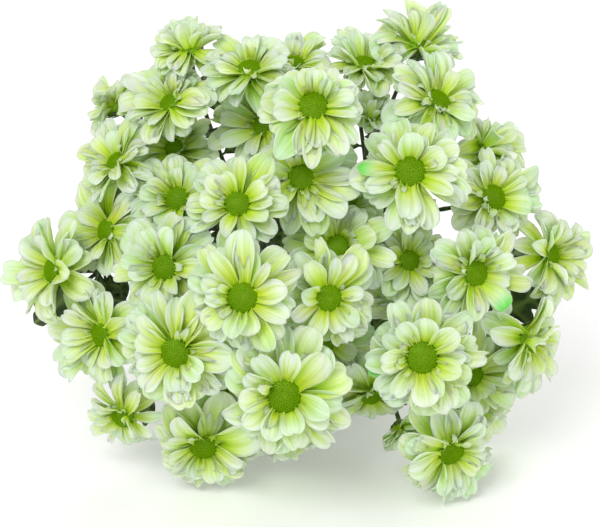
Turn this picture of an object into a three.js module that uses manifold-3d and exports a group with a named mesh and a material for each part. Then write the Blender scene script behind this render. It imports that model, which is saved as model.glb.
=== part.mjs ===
// A bunch of spray chrysanthemums laid down on a surface: 45 pale green daisy blooms on ten
// branched, leafy stems, with one elastic band round the stems.
// Millimetres, +Z up. The heads look towards -Y and about 23 degrees up, and the stems run back
// towards +Y, down to the surface. The origin is on the surface under the middle of the bunch.
import * as THREE from "three";
import { mergeVertices } from "three/addons/utils/BufferGeometryUtils.js";
import Module from "manifold-3d";

const wasm = await Module();
wasm.setup();

// The head of the bunch is a dome of blooms, set out behind a flat front plane. frontMiddle is the
// middle of that plane, and places on it are given to the right and upwards as seen from the front.
const headTilt = THREE.MathUtils.degToRad(23);
const frontMiddle = [-1.2, -165.2, 160];
const domeRadius = 175;
const domeDepth = 102;
const domeMiddle = [0, -11];
const viewDistance = 800;

// One bloom, at a reach of 32 mm. Ring radii and heights are measured from the middle ring.
const fullReach = 32;
const petalsInWhorl = 8;
const rings = {
  disc: { radius: 6.2, height: 5.2 },
  top: { radius: 9.6, height: 2.2 },
  middle: { radius: 10.2, height: 0 },
  bottom: { radius: 8.6, height: -2.6 },
  neck: { radius: 2.6, height: -9.5 },
};
const apexHeight = 6;
const whorls = {
  outer: { turn: 0, edge: "middle", keel: "bottom", rise: 15, steps: [8, 11, 5], widths: [10.6, 12.4] },
  inner: { turn: 0.5, edge: "top", keel: "middle", rise: 35, steps: [7, 9, 4.5], widths: [9.4, 10.8] },
};
const keelDepths = [1.5, 1.2];
const petalArch = [10, 0, -14];
const petalShare = 0.91;
const petalRises = { lowest: -34, outer: 56, inner: 86, step: 2 };
const whorlAngle = 14;
const petalLengths = [1, 0.94, 0.88, 0.82, 0.76, 0.7, 0.64, 0.58, 0.52, 0.46, 0.4];
const shorteningCost = 80;
const petalVariety = { rise: 9, least: 0.94, more: 0.1 };
const goldenTurn = 2.4;

// Clearances between neighbours.
const halfGap = 0.25;
const footGap = 0.3;
const neckLength = 3;
const stemRoom = 2.6;
const stemReach = 4;
const surfaceDip = -0.8;
const crowding = { rounds: 260, share: 0.85, slack: 4, forward: 0.06, sideways: 0.025, pull: 0.02 };
const walls = { within: 1.1, tiltStep: 8, hubRoom: 2.4, shareStep: 0.1 };

// Stems, from the cut ends through the waist, where the band is, to the calyxes.
const waist = [0, -11, -218];
const rimRadius = 7.6;
const slotTurns = { d: 20, c: 60, b: 100, a: 140, f: 180, h: 220, g: 260, i: 300, j: 340 };
const middleSlot = [0.4, 2.3];
const cutEnds = { back: 190, height: 17.4, spread: 2.2 };
const stemRadius = { cut: 2.6, top: 1.6, branch: 1.5 };
const mainSteps = 5;
const branchSteps = 4;
const mainHandle = 65;
const branching = { first: 0.62, step: 0.08, ownWay: 0.45, startHandle: 0.3, endHandle: 0.4 };
const stemSides = 5;
const branchSides = 4;
const leastDetail = 0.12;
const band = { inner: 10.8, outer: 12.4, width: 6, sides: 16, behindWaist: 6 };

// A lobed leaf, 60 mm long. Points of one side: share of the length along, share of it across.
const leafLength = 60;
const leafSide = [
  [0.3, 0.29],
  [0.39, 0.12],
  [0.58, 0.34],
  [0.67, 0.13],
  [0.82, 0.22],
  [0.87, 0.09],
];
const leafRib = [0.18, 0.39, 0.67, 0.87];
const stalkHalf = 1.3;
const leafHalfThick = 0.55;
const leafFold = 0.3;
const leafDroop = 0.0035;
const leafBack = 12;
const leafLevels = { first: 0.04, second: 0.175, step: 0.045, turn: 8 };

// The blooms of each stem, the leader first. across and up place the disc on the front plane as
// seen from the front, lift brings it forward of the dome, lean is its angle from the viewing
// direction, towards the given direction (0 to the right, 90 up), and reach is its radius.
const bloom = (across, up, lift, lean, towards, reach, closed = 0) => ({
  across,
  up,
  lift,
  lean,
  towards,
  reach,
  closed,
});
const sprays = {
  a: [
    bloom(-77, 94, 6, 48, 128, 31),
    bloom(-63, 126, 2, 58, 102, 29),
    bloom(-109, 59, 2, 48, 145, 30),
    bloom(-112, 95, -12, 66, 138, 29),
    bloom(-74, 70, -28, 30, 130, 28),
  ],
  b: [
    bloom(7, 88, 14, 20, 92, 38),
    bloom(-34, 113, 4, 44, 95, 32),
    bloom(-22, 86, -12, 30, 140, 29),
    bloom(-4, 119, -14, 55, 88, 29),
  ],
  c: [
    bloom(81, 97, 8, 40, 50, 34),
    bloom(41, 120, 2, 45, 80, 30),
    bloom(69, 128, -8, 64, 62, 33),
    bloom(43, 88, -10, 50, 85, 18, 40),
    bloom(111, 70, -15, 58, 35, 29),
  ],
  d: [bloom(66, 55, 12, 10, 80, 40), bloom(115, 39, 2, 26, 15, 36), bloom(149, 5, 0, 50, 5, 32)],
  e: [
    bloom(2, 52, -2, 10, 90, 34),
    bloom(-36, 36, 6, 7, 130, 33),
    bloom(24, 9, -15, 12, 80, 31),
    bloom(28, 31, -40, 15, 60, 28),
  ],
  f: [
    bloom(-115, 22, 0, 40, 172, 30),
    bloom(-75, 34, -2, 20, 140, 32),
    bloom(-146, -4, 0, 50, 178, 36),
    bloom(-79, -2, 3, 20, 180, 35),
  ],
  g: [
    bloom(-10, -73, 14, 10, 270, 43),
    bloom(-33, -23, 13, 5, 200, 38),
    bloom(17, -20, 2, 15, 350, 34),
    bloom(14, -47, -32, 20, 300, 30),
    bloom(-12, -103, -22, 62, 270, 28),
  ],
  h: [
    bloom(-73, -48, 10, 17, 215, 39),
    bloom(-118, -43, 0, 45, 195, 35),
    bloom(-56, -108, -13, 32, 268, 37),
    bloom(-106, -91, -4, 42, 225, 30),
    bloom(-47, -72, -34, 35, 250, 28),
  ],
  i: [
    bloom(72, -55, 15, 8, 250, 42),
    bloom(88, -112, 14, 37, 305, 37),
    bloom(108, -65, -10, 36, 330, 31),
    bloom(43, -79, -28, 45, 275, 28),
    bloom(62, -99, -18, 55, 285, 23, 25),
    bloom(108, -83, -26, 55, 320, 27),
  ],
  j: [
    bloom(104, -5, 5, 26, 355, 35),
    bloom(62, -2, -22, 20, 30, 28),
    bloom(66, -22, -26, 25, 340, 28),
    bloom(131, -49, -8, 54, 340, 36),
  ],
};

const across = new THREE.Vector3(1, 0, 0);
const upward = new THREE.Vector3(0, Math.sin(headTilt), Math.cos(headTilt));
const forward = new THREE.Vector3(0, -Math.cos(headTilt), Math.sin(headTilt));
const radians = THREE.MathUtils.degToRad;

// A point from its place on the front plane and its distance in front of it.
function place(right, up, front) {
  return new THREE.Vector3(...frontMiddle)
    .addScaledVector(across, right)
    .addScaledVector(upward, up)
    .addScaledVector(forward, front);
}

// Repeatable numbers from 0 to 1.
function seeded(seed) {
  let state = seed;
  return () => {
    state = (state * 1664525 + 1013904223) % 4294967296;
    return state / 4294967296;
  };
}

// Sets one bloom out on the dome. One further back stands further out, as the eye sees it.
function setOut(name, item) {
  const fromMiddle = Math.hypot(item.across - domeMiddle[0], item.up - domeMiddle[1]);
  const back = domeDepth * (fromMiddle / domeRadius) ** 2 - item.lift;
  const spreading = 1 + back / viewDistance;
  const towards = radians(item.towards);
  const lean = radians(item.lean);
  const facing = forward
    .clone()
    .multiplyScalar(Math.cos(lean))
    .addScaledVector(across, Math.sin(lean) * Math.cos(towards))
    .addScaledVector(upward, Math.sin(lean) * Math.sin(towards));
  const centre = place(item.across * spreading, item.up * spreading, -back);
  const { reach, closed } = item;
  return { name, facing, centre, home: centre.clone(), reach, closed, walls: [] };
}

// Moves blooms that crowd each other apart, mostly to the front and back.
function makeRoom(list) {
  for (let round = 0; round < crowding.rounds; round++) {
    for (const a of list)
      for (const b of list) {
        if (a === b) continue;
        const mean = a.facing.clone().add(b.facing).normalize();
        const gap = b.centre.clone().sub(a.centre);
        const rise = gap.dot(mean);
        const sideways = gap.clone().addScaledVector(mean, -rise);
        const apart = sideways.length();
        const need = crowding.share * (a.reach + b.reach - apart) - crowding.slack;
        if (need <= 0 || Math.abs(rise) > need) continue;
        const lack = need - Math.abs(rise);
        const push = (rise < 0 ? -1 : 1) * lack * crowding.forward;
        a.centre.addScaledVector(forward, -push);
        b.centre.addScaledVector(forward, push);
        sideways.setLength(lack * crowding.sideways);
        a.centre.sub(sideways);
        b.centre.add(sideways);
      }
    for (const a of list) a.centre.lerp(a.home, crowding.pull);
  }
}

// Gives a bloom its axes, its scale and the natural rise and size of each petal.
function dress(one, index) {
  const random = seeded(index + 40);
  one.scale = one.reach / fullReach;
  one.first = new THREE.Vector3(0, 0, 1).cross(one.facing).normalize();
  one.second = one.facing.clone().cross(one.first);
  one.spin = index * goldenTurn;
  one.petals = [];
  for (const whorl of ["outer", "inner"])
    for (let k = 0; k < petalsInWhorl; k++)
      one.petals.push({
        whorl,
        k,
        natural: whorls[whorl].rise + one.closed + (random() - 0.5) * petalVariety.rise,
        size: petalVariety.least + random() * petalVariety.more,
      });
  const ringPoints = ["top", "middle", "bottom", "disc"].flatMap((ring) =>
    Array.from({ length: petalsInWhorl }, (_, k) => onRing(one, ring, k)),
  );
  one.hubPoints = [...ringPoints, footOf(one)];
  one.reachPoints = one.petals.flatMap((petal) =>
    freePoints(petalShape(one, petal, petal.natural, 1)),
  );
}

function direction(one, turn) {
  const angle = one.spin + (turn * 2 * Math.PI) / petalsInWhorl;
  return one.first
    .clone()
    .multiplyScalar(Math.cos(angle))
    .addScaledVector(one.second, Math.sin(angle));
}

function onRing(one, ring, turn) {
  const { radius, height } = rings[ring];
  return one.centre
    .clone()
    .addScaledVector(direction(one, turn), radius * one.scale)
    .addScaledVector(one.facing, height * one.scale);
}

// One petal, as three-cornered sections that end in a tip. Its edges stay inside its own share
// of the turn, so that petals side by side never meet.
function petalShape(one, petal, rise, length) {
  const { turn, edge, keel, steps, widths } = whorls[petal.whorl];
  const middle = petal.k + turn;
  const outward = direction(one, middle);
  const side = one.facing.clone().cross(outward);
  const root = [
    onRing(one, edge, middle - 0.5),
    onRing(one, edge, middle + 0.5),
    onRing(one, keel, middle),
  ];
  const line = root[0].clone().add(root[1]).multiplyScalar(0.5);
  const sections = [root];
  const size = one.scale * petal.size * length;
  steps.forEach((step, i) => {
    const angle = radians(Math.min(rise + petalArch[i], 89));
    line.addScaledVector(outward, Math.cos(angle) * step * size);
    line.addScaledVector(one.facing, Math.sin(angle) * step * size);
    if (i === steps.length - 1) return;
    const fromAxis = line.clone().sub(one.centre).dot(outward);
    const room = petalShare * fromAxis * Math.tan(Math.PI / petalsInWhorl);
    const half = Math.min((widths[i] / 2) * one.scale * petal.size, room);
    const under = new THREE.Vector3()
      .addScaledVector(outward, Math.sin(angle))
      .addScaledVector(one.facing, -Math.cos(angle));
    sections.push([
      line.clone().addScaledVector(side, -half),
      line.clone().addScaledVector(side, half),
      line.clone().addScaledVector(under, keelDepths[i] * one.scale),
    ]);
  });
  return { sections, tip: line };
}

// All of a petal's corners but those of its root.
function freePoints({ sections, tip }) {
  return [...sections.slice(1).flat(), tip];
}

// The best flat wall between two neighbouring blooms: the one that bends their petals least.
function raiseWall(a, b) {
  if (a.centre.distanceTo(b.centre) > (a.reach + b.reach) * walls.within) return;
  const mean = a.facing.clone().add(b.facing).normalize();
  const gap = b.centre.clone().sub(a.centre);
  const rise = gap.dot(mean);
  const sideways = gap.clone().addScaledVector(mean, -rise).normalize();
  let best = { cost: Infinity };
  for (let tilt = 0; tilt < 90; tilt += walls.tiltStep) {
    const normal = sideways
      .clone()
      .multiplyScalar(Math.cos(radians(tilt)))
      .addScaledVector(mean, Math.sin(radians(tilt)) * Math.sign(rise));
    const from = Math.max(...a.hubPoints.map((point) => point.dot(normal)));
    const to = Math.min(...b.hubPoints.map((point) => point.dot(normal)));
    if (to - from < walls.hubRoom) continue;
    for (let share = walls.shareStep; share < 1; share += walls.shareStep) {
      const offset = THREE.MathUtils.lerp(from + 1, to - 1, share);
      let cost = 0;
      for (const point of a.reachPoints) cost += Math.max(0, point.dot(normal) - offset) ** 2;
      for (const point of b.reachPoints) cost += Math.max(0, offset - point.dot(normal)) ** 2;
      if (cost < best.cost) best = { cost, normal, offset };
    }
  }
  if (!best.normal) throw new Error(`no wall fits between ${a.name} and ${b.name}`);
  a.walls.push({ normal: best.normal, limit: best.offset - halfGap });
  b.walls.push({ normal: best.normal.clone().negate(), limit: -best.offset - halfGap });
}

// True if a petal stays inside its bloom's walls, above the surface and clear of other stems.
function petalFits(one, shape) {
  for (const point of freePoints(shape)) {
    if (point.z < surfaceDip) return false;
    for (const wall of one.walls) if (point.dot(wall.normal) > wall.limit) return false;
  }
  const [root, near, far] = shape.sections;
  const lines = [
    [near[0], far[0]],
    [near[1], far[1]],
    [far[0], shape.tip],
    [far[1], shape.tip],
    [near[0], near[1]],
    [far[0], far[1]],
    [near[2], far[2]],
    [root[2], near[2]],
  ];
  for (const [start, end] of lines) {
    const line = new THREE.Line3(start, end);
    for (const stem of one.stemsNear)
      if (line.distanceSqToLine3(stem) < stemRoom ** 2) return false;
  }
  return true;
}

// Picks the rise and length of each petal: of those that fit, the nearest to natural. The inner
// whorl stays above both of the outer petals that it lies over.
function settlePetals(one, stemLines) {
  const foot = footOf(one);
  one.stemsNear = stemLines.filter((line) => {
    const own = [line.start, line.end].some((end) => end.distanceTo(foot) < footGap + neckLength + 1);
    const closest = line.closestPointToPoint(one.centre, true, new THREE.Vector3());
    return !own && closest.distanceTo(one.centre) < one.reach + stemReach;
  });
  const outerRises = [];
  for (const petal of one.petals) {
    const inner = petal.whorl === "inner";
    const beneath = [outerRises[petal.k], outerRises[(petal.k + 1) % petalsInWhorl]];
    const lowest = inner ? Math.max(...beneath) + whorlAngle : petalRises.lowest;
    const choices = [];
    for (let rise = lowest; rise <= petalRises[petal.whorl]; rise += petalRises.step)
      for (const length of petalLengths)
        choices.push({
          rise,
          length,
          cost: Math.abs(rise - petal.natural) + shorteningCost * (1 - length),
        });
    choices.sort((p, q) => p.cost - q.cost);
    const best = choices.find(({ rise, length }) =>
      petalFits(one, petalShape(one, petal, rise, length)),
    );
    if (!best) throw new Error(`${one.name} has no room for ${petal.whorl} petal ${petal.k}`);
    petal.shape = petalShape(one, petal, best.rise, best.length);
    if (!inner) outerRises[petal.k] = best.rise;
  }
}

// A closed solid from its faces, each a list of corners that runs round it as seen from outside.
function solidFrom(faces) {
  const position = [];
  for (const [first, ...rest] of faces)
    for (let i = 0; i + 1 < rest.length; i++)
      for (const point of [first, rest[i], rest[i + 1]]) position.push(point.x, point.y, point.z);
  const loose = new THREE.BufferGeometry();
  loose.setAttribute("position", new THREE.Float32BufferAttribute(position, 3));
  return solidOf(loose);
}

function solidOf(geometry) {
  geometry.deleteAttribute("normal");
  geometry.deleteAttribute("uv");
  const merged = mergeVertices(geometry, 1e-3);
  return new wasm.Manifold(
    new wasm.Mesh({
      numProp: 3,
      vertProperties: merged.attributes.position.array,
      triVerts: new Uint32Array(merged.index.array),
    }),
  );
}

function geometryFrom(solid) {
  const mesh = solid.getMesh();
  const geometry = new THREE.BufferGeometry();
  geometry.setAttribute("position", new THREE.BufferAttribute(mesh.vertProperties, 3));
  geometry.setIndex(new THREE.BufferAttribute(mesh.triVerts, 1));
  geometry.computeVertexNormals();
  return geometry;
}

// The hub, the domed disc, the calyx and all petals, as one closed surface. The inner petals
// grow from the upper belt of the hub and the outer ones from the lower belt.
function bloomSolid(one) {
  const faces = [];
  const apex = one.centre.clone().addScaledVector(one.facing, apexHeight * one.scale);
  const foot = footOf(one);
  for (let k = 0; k < petalsInWhorl; k++) {
    const at = (ring, turn) => onRing(one, ring, turn);
    faces.push(
      [at("disc", k), at("disc", k + 1), apex],
      [at("top", k), at("top", k + 1), at("disc", k + 1), at("disc", k)],
      [at("middle", k - 0.5), at("middle", k + 0.5), at("top", k)],
      [at("bottom", k), at("bottom", k + 1), at("middle", k + 0.5)],
      [at("neck", k), at("neck", k + 1), at("bottom", k + 1), at("bottom", k)],
      [at("neck", k + 1), at("neck", k), foot],
    );
  }
  for (const { shape } of one.petals) {
    const { sections, tip } = shape;
    for (let i = 1; i < sections.length; i++) {
      const [left, right, keel] = sections[i - 1];
      const [nextLeft, nextRight, nextKeel] = sections[i];
      faces.push(
        [left, nextLeft, nextRight, right],
        [left, keel, nextKeel, nextLeft],
        [keel, right, nextRight, nextKeel],
      );
    }
    const [left, right, keel] = sections.at(-1);
    faces.push([left, tip, right], [left, keel, tip], [keel, right, tip]);
  }
  return solidFrom(faces);
}

function footOf(one) {
  return one.centre.clone().addScaledVector(one.facing, rings.neck.height * one.scale);
}

// A tapering tube through the given points, with flat ends square to it.
function tube(points, startRadius, endRadius, sides) {
  const tangents = points.map((point, i) =>
    points[Math.min(i + 1, points.length - 1)]
      .clone()
      .sub(points[Math.max(i - 1, 0)])
      .normalize(),
  );
  const side = new THREE.Vector3(0, 0, 1).cross(tangents[0]).normalize();
  const loops = points.map((point, i) => {
    side.addScaledVector(tangents[i], -side.dot(tangents[i])).normalize();
    const other = tangents[i].clone().cross(side);
    const radius = THREE.MathUtils.lerp(startRadius, endRadius, i / (points.length - 1));
    return Array.from({ length: sides }, (_, k) => {
      const angle = (2 * Math.PI * k) / sides;
      return point
        .clone()
        .addScaledVector(side, Math.cos(angle) * radius)
        .addScaledVector(other, Math.sin(angle) * radius);
    });
  });
  const faces = [[...loops[0]].reverse(), loops.at(-1)];
  for (let i = 1; i < loops.length; i++)
    for (let k = 0; k < sides; k++) {
      const next = (k + 1) % sides;
      faces.push([loops[i - 1][k], loops[i - 1][next], loops[i][next], loops[i][k]]);
    }
  return solidFrom(faces);
}

// The routes of one spray's stems: straight from the cut end to the waist, then curving up to
// the leader, and a branch from it to each other bloom.
function routesOf(spray, [leader, ...others]) {
  const middle = place(...waist);
  const endMiddle = new THREE.Vector3(middle.x, middle.y + cutEnds.back, cutEnds.height);
  const along = middle.clone().sub(endMiddle).normalize();
  const over = across.clone().cross(along).normalize();
  const turn = radians(slotTurns[spray] ?? 0);
  const onRim = [rimRadius * Math.cos(turn), rimRadius * Math.sin(turn)];
  const slot = spray in slotTurns ? onRim : middleSlot;
  const inBunch = (origin, spread) =>
    origin
      .clone()
      .addScaledVector(across, slot[0] * spread)
      .addScaledVector(over, -slot[1] * spread);
  const atWaist = inBunch(middle, 1);
  const cut = inBunch(endMiddle, cutEnds.spread);
  const below = (one, gap) => footOf(one).addScaledVector(one.facing, -gap);
  const top = below(leader, footGap + neckLength);
  const main = new THREE.CubicBezierCurve3(
    atWaist,
    atWaist.clone().addScaledVector(along, mainHandle),
    top.clone().addScaledVector(leader.facing, -mainHandle),
    top,
  );
  const branches = others.map((one, i) => {
    const end = below(one, footGap + neckLength);
    const share = branching.first - branching.step * i;
    const start = main.getPoint(share);
    const reach = start.distanceTo(end);
    const leaving = end.clone().sub(start).normalize();
    leaving.lerp(main.getTangent(share), branching.ownWay);
    const branch = new THREE.CubicBezierCurve3(
      start,
      start.clone().addScaledVector(leaving, reach * branching.startHandle),
      end.clone().addScaledVector(one.facing, -reach * branching.endHandle),
      end,
    );
    return [...branch.getPoints(branchSteps), below(one, footGap)];
  });
  const mainPoints = [cut, ...main.getPoints(mainSteps), below(leader, footGap)];
  return { along, main, mainPoints, branches };
}

function linesOf({ mainPoints, branches }) {
  return [mainPoints, ...branches].flatMap((points) =>
    points.slice(1).map((point, i) => new THREE.Line3(points[i], point)),
  );
}

// One lobed leaf. It springs from the stem's middle line, lies along the given direction, and
// droops and folds a little.
function leafSolid(root, along, top) {
  const side = top.clone().cross(along).normalize();
  const over = along.clone().cross(side);
  const at = (share, half, lift) =>
    root
      .clone()
      .addScaledVector(along, share * leafLength)
      .addScaledVector(side, half)
      .addScaledVector(over, lift + leafFold * Math.abs(half) - leafDroop * (share * leafLength) ** 2);
  const faces = [];
  const apex = at(1, 0, 0);
  for (const way of [1, -1]) {
    const edge = [[leafRib[0], stalkHalf / leafLength], ...leafSide].map(([share, half]) =>
      at(share, way * half * leafLength, 0),
    );
    for (const lift of [leafHalfThick, -leafHalfThick]) {
      const ribs = leafRib.map((share) => at(share, 0, lift));
      const blade = [[ribs[3], edge[6], apex]];
      for (let lobe = 0; lobe < 3; lobe++) {
        const [inner, outer, notch] = edge.slice(2 * lobe, 2 * lobe + 3);
        blade.push([ribs[lobe], inner, outer], [ribs[lobe], outer, notch]);
        blade.push([ribs[lobe], notch, ribs[lobe + 1]]);
      }
      for (const face of blade) faces.push(way * lift > 0 ? face.reverse() : face);
    }
  }
  const stalk = (share) => [
    at(share, -stalkHalf, 0),
    at(share, 0, -leafHalfThick),
    at(share, stalkHalf, 0),
    at(share, 0, leafHalfThick),
  ];
  const start = stalk(0);
  const end = stalk(leafRib[0]);
  for (let k = 0; k < 4; k++) {
    const next = (k + 1) % 4;
    faces.push([start[k], start[next], end[next], end[k]]);
  }
  faces.push([...start].reverse());
  return solidFrom(faces);
}

// Two leaves to a stem. They are set at six levels, so that each has room on both sides.
function leafPlaces(number) {
  const { first, second, step, turn } = leafLevels;
  return [
    { share: first + step * (number % 3), turn: -turn },
    { share: second + step * ((number + 1) % 3), turn },
  ];
}

// One spray's main stem, branches and leaves. The spray in the middle of the bunch has no leaves.
function stemSolid(spray, route) {
  const { branch, cut, top } = stemRadius;
  let solid = tube(route.mainPoints, cut, top, stemSides);
  for (const points of route.branches) solid = solid.add(tube(points, branch, branch, branchSides));
  solid = solid.simplify(leastDetail);
  if (!(spray in slotTurns)) return solid;
  const over = across.clone().cross(route.along).normalize();
  for (const { share, turn } of leafPlaces(Object.keys(slotTurns).indexOf(spray))) {
    const angle = radians(slotTurns[spray] + turn);
    const outward = across
      .clone()
      .multiplyScalar(Math.cos(angle))
      .addScaledVector(over, -Math.sin(angle));
    const along = outward
      .multiplyScalar(Math.cos(radians(leafBack)))
      .addScaledVector(route.along, -Math.sin(radians(leafBack)));
    solid = solid.add(leafSolid(route.main.getPoint(share), along, route.along));
  }
  return solid;
}

// What would dip into the surface is pressed flat on it.
function restOnSurface(solid) {
  const size = 1000;
  const depth = 50;
  const below = new THREE.BoxGeometry(size, size, depth).translate(0, 0, -depth / 2);
  return solid.subtract(solidOf(below));
}

function bandGeometry() {
  const half = band.width / 2;
  const profile = [
    [band.inner, -half],
    [band.outer, -half],
    [band.outer, half],
    [band.inner, half],
    [band.inner, -half],
  ].map(([x, y]) => new THREE.Vector2(x, y));
  return new THREE.LatheGeometry(profile, band.sides);
}

const petalMaterial = new THREE.MeshStandardMaterial({ color: 0xe6efcf, roughness: 0.6 });
const stemMaterial = new THREE.MeshStandardMaterial({ color: 0x4a6128, roughness: 0.7 });
const bandMaterial = new THREE.MeshStandardMaterial({ color: 0xc9b27a, roughness: 0.6 });

const blooms = {};
for (const [spray, list] of Object.entries(sprays))
  blooms[spray] = list.map((item, i) => setOut(`bloom_${spray}${i + 1}`, item));
const allBlooms = Object.values(blooms).flat();
makeRoom(allBlooms);
allBlooms.forEach(dress);
allBlooms.forEach((a, i) => allBlooms.slice(i + 1).forEach((b) => raiseWall(a, b)));
const routes = Object.entries(blooms).map(([spray, list]) => [spray, routesOf(spray, list)]);
const stemLines = routes.flatMap(([, route]) => linesOf(route));
for (const one of allBlooms) settlePetals(one, stemLines);

const bunch = new THREE.Group();
function addNode(name, geometry, material) {
  const mesh = new THREE.Mesh(geometry, material);
  mesh.name = name;
  bunch.add(mesh);
  return mesh;
}
for (const one of allBlooms)
  addNode(one.name, geometryFrom(restOnSurface(bloomSolid(one))), petalMaterial);
for (const [spray, route] of routes)
  addNode(`stem_${spray}`, geometryFrom(restOnSurface(stemSolid(spray, route))), stemMaterial);
const { along } = routes[0][1];
const ring = addNode("band", bandGeometry(), bandMaterial);
ring.position.copy(place(...waist)).addScaledVector(along, -band.behindWaist);
ring.quaternion.setFromUnitVectors(new THREE.Vector3(0, 1, 0), along);

export default bunch;
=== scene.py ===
# A bunch of spray chrysanthemums laid down on a pale floor: 45 daisy blooms on ten branched,
# leafy stems, with one elastic band. Metres, +Z up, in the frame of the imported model.
import math
from functools import partial

import bmesh
import bpy
import numpy as np
from mathutils import Matrix, Vector


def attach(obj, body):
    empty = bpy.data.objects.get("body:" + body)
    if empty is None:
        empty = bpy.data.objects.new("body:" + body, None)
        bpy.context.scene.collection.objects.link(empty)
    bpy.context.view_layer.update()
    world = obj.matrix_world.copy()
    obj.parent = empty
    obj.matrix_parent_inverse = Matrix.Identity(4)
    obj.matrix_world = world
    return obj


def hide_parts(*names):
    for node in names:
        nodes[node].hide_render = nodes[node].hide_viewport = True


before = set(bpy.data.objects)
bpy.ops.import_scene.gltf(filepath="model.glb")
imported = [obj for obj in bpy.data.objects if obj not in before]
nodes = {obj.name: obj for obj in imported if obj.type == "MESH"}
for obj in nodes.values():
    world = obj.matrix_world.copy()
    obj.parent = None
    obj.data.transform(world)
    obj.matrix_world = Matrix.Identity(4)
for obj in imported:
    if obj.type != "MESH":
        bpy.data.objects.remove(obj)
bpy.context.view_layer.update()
print("frame:", len(nodes), "nodes")

mm = 0.001
wholeTurn = 2 * math.pi
goldenAngle = math.pi * (3 - math.sqrt(5))

view = {  # the photograph looks down on the heads
    "aim": (-1.2, -165.2, 160),  # mm, the middle of the foremost blooms
    "down": 23,  # degrees
    "distance": 800,  # mm
    "lens": 80,
    "sensor": 36,
}
tilt = math.radians(view["down"])
rightWay, upWay, frontWay = (
    np.array(Vector(way))
    for way in ((1, 0, 0), (0, math.sin(tilt), math.cos(tilt)), (0, -math.cos(tilt), math.sin(tilt)))
)


def unit(vector):
    return vector / np.linalg.norm(vector)


def units(rows):
    return rows / np.linalg.norm(rows, axis=1)[:, None]


def turned(one, other, angle):  # a direction that turns from one to the other
    return math.cos(angle) * one + math.sin(angle) * other


def stepsOf(line):  # from each point of a line to the next
    return np.linalg.norm(np.diff(line, axis=0), axis=1)


def runOf(line):  # how far along a line each of its points lies
    return np.concatenate([[0], np.cumsum(stepsOf(line))])


def resampled(line, at, even):
    return np.stack([np.interp(even, at, line[:, i]) for i in range(line.shape[1])], axis=1)


def mix(a, b, share):
    return a + (b - a) * share


def smooth(x):
    x = np.clip(x, 0, 1)
    return x * x * (3 - 2 * x)


def linear(colour):  # sRGB hex to linear
    parts = [int(colour[i : i + 2], 16) / 255 for i in (1, 3, 5)]
    return [p / 12.92 if p <= 0.04045 else ((p + 0.055) / 1.055) ** 2.4 for p in parts] + [1]


def setInputs(node, inputs):  # each takes a value, a socket or another node's first output
    for name, value in inputs.items():
        if isinstance(value, bpy.types.Node):
            value = value.outputs[0]
        if isinstance(value, bpy.types.NodeSocket):
            node.id_data.links.new(value, node.inputs[name])
        else:
            node.inputs[name].default_value = value


def addNode(tree, kind, inputs=None, **settings):
    node = tree.nodes.new(kind)
    for name, value in settings.items():
        setattr(node, name, value)
    setInputs(node, inputs or {})
    return node


def setCurve(ramp, stops):  # colour stops: place on the ramp, sRGB hex
    elements = ramp.color_ramp.elements
    while len(elements) < len(stops):
        elements.new(0.5)
    for element, (place, colour) in zip(elements, stops):
        element.position = place
        element.color = linear(colour)
    return ramp


def newTree(name, inputs):
    tree = bpy.data.node_groups.new(name, "GeometryNodeTree")
    for label, kind in {"Geometry": "Geometry", **inputs}.items():
        tree.interface.new_socket(label, in_out="INPUT", socket_type="NodeSocket" + kind)
    tree.interface.new_socket("Geometry", in_out="OUTPUT", socket_type="NodeSocketGeometry")
    return tree, partial(addNode, tree), addNode(tree, "NodeGroupInput").outputs


def endTree(tree, geometry, material):
    shaded = addNode(tree, "GeometryNodeSetShadeSmooth", {"Geometry": geometry, "Shade Smooth": True})
    real = addNode(tree, "GeometryNodeRealizeInstances", {"Geometry": shaded})
    last = addNode(tree, "GeometryNodeSetMaterial", {"Geometry": real, "Material": material})
    addNode(tree, "NodeGroupOutput", {0: last})
    return tree


def addObject(name, data):
    thing = bpy.data.objects.new(name, data)
    bpy.context.scene.collection.objects.link(thing)
    return thing


def grow(name, mesh, tree, inputs):  # runs a tree on a mesh and keeps the result as a plain mesh
    thing = addObject(name, mesh)
    modifier = thing.modifiers.new(tree.name, "NODES")
    modifier.node_group = tree
    for item in tree.interface.items_tree:
        if item.in_out == "INPUT" and item.name in inputs:
            modifier[item.identifier] = inputs[item.name]
    depsgraph = bpy.context.evaluated_depsgraph_get()
    plain = bpy.data.meshes.new_from_object(
        thing.evaluated_get(depsgraph), preserve_all_data_layers=True, depsgraph=depsgraph
    )
    thing.modifiers.remove(modifier)
    thing.data = plain
    return thing


def join(name, things):
    first = things[0]
    with bpy.context.temp_override(active_object=first, object=first, selected_editable_objects=things):
        bpy.ops.object.join()
    first.name = first.data.name = name
    return first


def standsFor(piece, body, slot, *names):
    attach(piece, body)
    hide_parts(*names)


def cornersOf(mesh):
    corners = np.empty(len(mesh.vertices) * 3, np.float32)
    mesh.vertices.foreach_get("co", corners)
    return corners.reshape(-1, 3)


def meshOf(name, points, faces, material=None):  # points in mm
    mesh = bpy.data.meshes.new(name)
    mesh.from_pydata((np.array(points) * mm).tolist(), [], faces)
    if material:
        mesh.shade_smooth()
        mesh.materials.append(material)
    return mesh


def linesMesh(name, lines, attributes):
    # a mesh of open lines; attributes gives each point its values, as {name: list of arrays}
    mesh = bpy.data.meshes.new(name)
    edges = []
    count = 0
    for line in lines:
        edges += [(i, i + 1) for i in range(count, count + len(line) - 1)]
        count += len(line)
    mesh.from_pydata(np.concatenate(lines).tolist(), edges, [])
    for label, values in attributes.items():
        values = np.concatenate(values).astype(np.float32)
        kind, field = ("FLOAT_VECTOR", "vector") if values.ndim == 2 else ("FLOAT", "value")
        mesh.attributes.new(label, kind, "POINT").data.foreach_set(field, values.ravel())
    return mesh


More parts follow.
